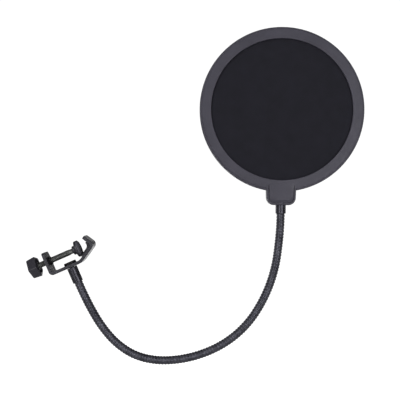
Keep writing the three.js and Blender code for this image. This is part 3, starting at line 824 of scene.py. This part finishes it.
def clamp_strip():
    """The bent strip: rounded long edges, rounded end corners, holes for the screw and the bolt."""
    half = STRIP_THICKNESS / 2
    path = rounded(strip_corners(), [0] + [r + half for r in BENDS] + [0], 14)
    leg_corner, tip_corner = END_CORNERS
    steps = 8
    stations = []
    for k in range(1, steps + 1):
        share = 1 - math.cos(math.pi / 2 * k / steps)
        stations += [leg_corner * share, -tip_corner * share, STRIP_EDGE * share, -STRIP_EDGE * share]
    points, total = spread_along(path, stations)
    rings = []
    for i, (d, here) in enumerate(points):
        before, after = points[max(i - 1, 0)][1], points[min(i + 1, len(points) - 1)][1]
        along = (after - before).normalized()
        normal = Vector((-along.y, along.x))
        thick = half - max(round_over(d, STRIP_EDGE), round_over(total - d, STRIP_EDGE))
        wide = STRIP_WIDTH / 2 - max(round_over(d, leg_corner), round_over(total - d, tip_corner))
        edge = min(STRIP_EDGE, thick * 0.8)
        section = rounded([(-thick, -wide), (thick, -wide), (thick, wide), (-thick, wide)],
                          [edge] * 4, 4, closed=True)
        rings.append([(here.x + normal.x * a, b, here.y + normal.y * a) for a, b in section])
    strip = loft("clamp_strip", rings, clamp_frame)
    tools = []
    for radius, middle, axis, centre in ((SCREW_R, LEG_U, "x", (0, 0, 0)),
                                         (BOLT_R, BASE_V, "z", (NECK_MOUNT_U, 0, 0))):
        bore, low, high = radius + BORE_GAP, middle - STRIP_THICKNESS, middle + STRIP_THICKNESS
        profile = [(0, low), (bore, low), (bore, high), (0, high)]
        tools.append(lathe("hole", profile, clamp_frame, axis=axis, segments=48, centre=centre))
    combine(strip, "DIFFERENCE", *tools)
    crisp(strip)
    return finish_piece(strip, clamp_steel, "clamp", "clamp_bracket")


def hook_lining():
    """The rubber lining in the hook's corner, which leaves the end of the upper arm bare."""
    start, vertex, tip = [Vector(p) for p in strip_corners()[2:]]
    ends = [vertex + (end - vertex).normalized() * reach for end, reach in zip((start, tip), LINING_REACH)]
    line = [ends[0], vertex, ends[1]]
    seat = STRIP_THICKNESS / 2 + APART
    back = rounded(offset(line, seat), [0, BENDS[2], 0], 10)
    front = rounded(offset(line, seat + LINING_EXTRA + LINING_THICKNESS), [0, LINING_ARC, 0], 20)
    along = (ends[0] - vertex).normalized()
    up = (front[0] - ends[0]).normalized()
    tail = [vertex + along * reach + up * (seat + rise) for reach, rise in LINING_TAIL]
    back = [tail[0] - up * LINING_TAIL[0][1]] + back[1:]
    half = STRIP_WIDTH / 2 - LINING_INSET
    piece = prism("hook_pad", back + front[::-1] + tail[::-1], -half, half, clamp_frame)
    modify(piece, "BEVEL", width=LINING_EDGE * MM, segments=3, limit_method="ANGLE",
           angle_limit=math.radians(40))
    crisp(piece)
    return finish_piece(piece, rubber, "clamp", "jaw_lining")


def leg_nut():
    """The threaded collar on the leg's inner face."""
    start = LEG_U + STRIP_THICKNESS / 2 + 0.01
    end = start + NUT_HEIGHT
    bore = SCREW_R + 0.05
    section = [(bore, start, 0), (NUT_R, start, 0.1), (NUT_R, end, 0.5), (bore, end, 0.35)]
    profile = turned(section, 5, closed=True)
    piece = lathe("leg_nut", profile, clamp_frame, axis="x", segments=72, closed=True)
    crisp(piece)
    return finish_piece(piece, bolt_steel, "clamp", "thread_nut")


def mount_bolt():
    """The flat-headed bolt that holds the lower ferrule, with a cross drive."""
    seat = BASE_V + STRIP_THICKNESS / 2 + 0.01
    top, end = seat + BOLT_HEAD_HEIGHT, seat - BOLT_LENGTH
    section = [(0, end, 0), (BOLT_R, end, 0), (BOLT_R, seat, 0), (BOLT_HEAD_R, seat, 0.2),
               (BOLT_HEAD_R, top, 0.7), (0, top + 0.1, 0)]
    centre = (NECK_MOUNT_U, 0, 0)
    bolt = lathe("mount_bolt", turned(section, 5), clamp_frame, axis="z", segments=72, centre=centre)
    combine(bolt, "DIFFERENCE", *cross_recess("drive", 2.3, 1.4, clamp_frame, top, "z", centre))
    crisp(bolt)
    return finish_piece(bolt, bolt_steel, "clamp", "neck_bolt")


def thread_height(phase):
    """A rounded thread's height over one pitch, from 0 at the root to 1 at the crest."""
    return 0.5 - 0.5 * math.cos(2 * math.pi * phase)


def screw_rod():
    """The clamp screw: a helical thread, a plain shank and a turned-down tip inside the pad's hub."""
    start, end = KNOB_FRONT - SCREW_IN_KNOB, THREAD_END
    count = round((end - start) / THREAD_PITCH * STATIONS_PER_PITCH)
    rings = []
    for i in range(count + 1):
        u = start + (end - start) * i / count
        fade = min(1.0, (end - u) / (THREAD_RUNOUT * THREAD_PITCH))
        ring = []
        for k in range(SCREW_SEGMENTS):
            angle = 2 * math.pi * k / SCREW_SEGMENTS
            height = thread_height(u / THREAD_PITCH - k / SCREW_SEGMENTS) * fade
            r = SCREW_ROOT_R + (SCREW_R - SCREW_ROOT_R) * height
            ring.append((u, r * math.cos(angle), r * math.sin(angle)))
        rings.append(ring)
    hub = PAD_HUB - 0.2
    steps = [(SCREW_ROOT_R, end + 0.2), (SHANK_R, end + 0.35), (SHANK_R, hub - 0.4),
             (SHANK_R - 0.3, hub), (TIP_R, hub + 0.1), (TIP_R, TIP_U - 0.3), (TIP_R - 0.3, TIP_U)]
    rings += [circle(r, u, SCREW_SEGMENTS, "x") for r, u in steps]
    piece = loft("screw_rod", rings, clamp_frame, sharp=50)
    return finish_piece(piece, screw_steel, "screw", "clamp_screw")


def polygon_radius(angle, apothem, sides, corner):
    """Radius of a regular polygon with rounded corners, one corner at angle 0."""
    step = 2 * math.pi / sides
    off = (angle + step / 2) % step - step / 2          # from the nearest corner
    flat = step / 2 - abs(off)                          # from the nearest face's middle
    centre = (apothem - corner) / math.cos(step / 2)
    if apothem * math.tan(flat) <= (apothem - corner) * math.tan(step / 2):
        return apothem / math.cos(flat)
    return centre * math.cos(off) + math.sqrt(max(corner ** 2 - (centre * math.sin(off)) ** 2, 0.0))


def screw_knob():
    """The five-sided moulded knob: bevelled rims, a ring-shaped recess round its hub, a dished back."""
    apothem = KNOB_R * math.cos(math.pi / KNOB_SIDES)
    length = KNOB_FRONT - KNOB_BACK

    def outline(u, inset):
        scale = KNOB_BACK_SCALE + (1 - KNOB_BACK_SCALE) * (u - KNOB_BACK) / length
        ring = []
        for k in range(KNOB_SEGMENTS):
            angle = 2 * math.pi * k / KNOB_SEGMENTS
            lean = angle - math.radians(KNOB_TURN)
            r = polygon_radius(lean, apothem, KNOB_SIDES, KNOB_CORNER) * scale - inset
            ring.append((u, -r * math.cos(angle), r * math.sin(angle)))
        return ring

    def ring(radius, u):
        return [(u, -radius * math.cos(2 * math.pi * k / KNOB_SEGMENTS),
                 radius * math.sin(2 * math.pi * k / KNOB_SEGMENTS)) for k in range(KNOB_SEGMENTS)]

    dish = KNOB_BACK + KNOB_DISH_DEPTH
    rings = [ring(0.3, dish), ring(KNOB_DISH_R - 0.7, dish), ring(KNOB_DISH_R - 0.3, KNOB_BACK + 0.15),
             ring(KNOB_DISH_R, KNOB_BACK)]
    rings += [outline(KNOB_BACK + drop, inset) for inset, drop in edge_steps(KNOB_BACK_EDGE)]
    rings += [outline(KNOB_BACK + length * share, 0.0) for share in (0.3, 0.5, 0.7)]
    rings += [outline(KNOB_FRONT - drop, inset) for inset, drop in edge_steps(KNOB_FRONT_EDGE)[::-1]]
    floor = KNOB_FRONT - KNOB_RECESS_DEPTH
    rings += [ring(KNOB_RECESS_R + 0.25, KNOB_FRONT), ring(KNOB_RECESS_R, KNOB_FRONT - 0.25),
              ring(KNOB_RECESS_R - 0.15, floor + 0.3), ring(KNOB_RECESS_R - 0.45, floor),
              ring(KNOB_HUB_R + 0.4, floor), ring(KNOB_HUB_R + 0.1, floor + 0.3),
              ring(KNOB_HUB_R, KNOB_FRONT - 0.1), ring(KNOB_HUB_R - 0.25, KNOB_FRONT + 0.1),
              ring(SCREW_R + 0.1, KNOB_FRONT + 0.1), ring(SCREW_R + 0.1, KNOB_FRONT - 4)]
    piece = loft("screw_knob", rings, clamp_frame, sharp=35)
    crisp(piece)
    return finish_piece(piece, knob_plastic, "screw", "clamp_knob")


def pad_disc():
    """The pad's steel disc with its swivel hub and a coned back."""
    bore = TIP_R + PAD_HUB_GAP
    section = [
        (bore, PAD_HUB, 0), (PAD_HUB_R, PAD_HUB, 0.6), (PAD_HUB_R, PAD_BACK - 1.1, 0.4),
        (PAD_HUB_R + 1.2, PAD_BACK - 0.5, 0.5), (PAD_R, PAD_BACK, 0.7), (PAD_R, PAD_FRONT, 0.15),
        (bore, PAD_FRONT, 0)]
    profile = turned(section, 6, closed=True)
    piece = lathe("pad_disc", profile, clamp_frame, axis="x", segments=96, closed=True)
    crisp(piece)
    return finish_piece(piece, clamp_steel, "pad", "pressure_pad")


def pad_rubber():
    """The pad's rubber facing, with two shallow grip rings."""
    seat, rim = PAD_FRONT + 0.01, PAD_R - 0.05
    section = [(0, seat, 0), (rim, seat, 0.1), (rim, PAD_FACE - 0.9, 0.4), (PAD_FACE_R, PAD_FACE, 0.4)]
    for r in GRIP_RADII:
        section += [(r + GRIP_TOP, PAD_FACE, 0.1), (r + GRIP_FLOOR, PAD_FACE - GRIP_DEPTH, 0.1),
                    (r - GRIP_FLOOR, PAD_FACE - GRIP_DEPTH, 0.1), (r - GRIP_TOP, PAD_FACE, 0.1)]
    section.append((0, PAD_FACE, 0))
    piece = lathe("pad_rubber", turned(section, 4), clamp_frame, axis="x", segments=96)
    crisp(piece)
    # the facing's paint is the lightened copy of the rubber, painted light
    return finish_piece(piece, lit_pad_rubber_paint, "pad", "pad_facing")


clamp_strip()
hook_lining()
leg_nut()
mount_bolt()
screw_rod()
screw_knob()
pad_disc()
pad_rubber()

# ---------- studio ----------

FLOOR_DROP = 0.22                     # of the floor below the object's lowest point
FLOOR_GLOW = 1.0                      # which only the camera sees
ROOM_GLOW, BACKDROP_GLOW = 0.09, 1.05  # what lights the object, and what the camera sees behind it


def floor_paint():
    """A nearly flat pale paint that a straight look from the camera sees as clean white."""
    paint = Paint("floor_paint", 0.9, 0.0, 0.1)
    tone = paint.span(paint.noise(3.0), 0.3, 0.7)
    paint.link(paint.blend(tone, (0.86, 0.86, 0.86), (0.82, 0.82, 0.82)), "Base Color")
    paint.shader.inputs["Emission Color"].default_value = (1, 1, 1, 1)
    seen = paint.node("ShaderNodeLightPath").outputs["Is Camera Ray"]
    paint.link(paint.math("MULTIPLY", seen, FLOOR_GLOW), "Emission Strength")
    return paint.material


bpy.ops.mesh.primitive_circle_add(vertices=96, radius=40, fill_type="NGON",
                                  location=(0, 0, cad_low.z - FLOOR_DROP))
floor = bpy.context.object
floor.name = "floor"
floor.data.materials.append(floor_paint())

world = bpy.data.worlds.new("studio")
bpy.context.scene.world = world
world.use_nodes = True
tree = world.node_tree
tree.nodes.clear()
output = tree.nodes.new("ShaderNodeOutputWorld")
mix = tree.nodes.new("ShaderNodeMixShader")
path = tree.nodes.new("ShaderNodeLightPath")
shades = []
for strength in (ROOM_GLOW, BACKDROP_GLOW):
    background = tree.nodes.new("ShaderNodeBackground")
    background.inputs["Color"].default_value = (1, 1, 1, 1)
    background.inputs["Strength"].default_value = strength
    shades.append(background.outputs[0])
tree.links.new(path.outputs["Is Camera Ray"], mix.inputs[0])
tree.links.new(shades[0], mix.inputs[1])
tree.links.new(shades[1], mix.inputs[2])
tree.links.new(mix.outputs[0], output.inputs[0])

middle = (cad_low + cad_high) / 2


def softbox(name, azimuth, elevation, distance, width, height, power):
    """A rectangular area light that points at the object's middle. Azimuth 0 is the camera's side."""
    turn, lift = math.radians(azimuth), math.radians(elevation)
    away = Vector((math.sin(turn) * math.cos(lift), -math.cos(turn) * math.cos(lift), math.sin(lift)))
    light = bpy.data.lights.new(name, "AREA")
    light.shape = "RECTANGLE"
    light.size, light.size_y = width, height
    light.energy = power
    lamp = bpy.data.objects.new(name, light)
    bpy.context.scene.collection.objects.link(lamp)
    lamp.location = middle + away * distance
    lamp.rotation_euler = (-away).to_track_quat("-Z", "Y").to_euler()
    lamp.visible_camera = False


# name, azimuth and elevation in degrees, distance, width and height in metres, power in watts
softbox("left_strip", -28, 14, 1.8, 0.6, 1.6, 10.5)
softbox("right_strip", 28, 2, 1.1, 0.37, 0.6, 3.4)
softbox("overhead", 0, 62, 1.6, 1.4, 0.8, 2.5)
softbox("right_card", 115, -8, 1.4, 0.9, 1.2, 2)
softbox("left_card", -115, 5, 1.4, 0.9, 1.2, 3)
softbox("back_card", 203, 6, 1.2, 1.1, 0.6, 1.4)
softbox("low_back_card", 190, -12, 0.9, 0.6, 0.28, 1.1)

VIEW_WIDTH = 0.3768                   # metres that the frame's width takes in at the object's plane
DISTANCE = 0.61                       # of the camera from that plane
VIEW_CENTRE = (0.10889, 0.04322)      # X and Z of the point at the middle of the frame
lens = bpy.data.cameras.new("camera")
lens.sensor_width = 36
lens.lens = lens.sensor_width * DISTANCE / VIEW_WIDTH
camera = bpy.data.objects.new("camera", lens)
bpy.context.scene.collection.objects.link(camera)
camera.location = (VIEW_CENTRE[0], -DISTANCE, VIEW_CENTRE[1])
camera.rotation_euler = (math.radians(90), 0, 0)
bpy.context.scene.camera = camera
bpy.context.scene.view_settings.view_transform = "Standard"
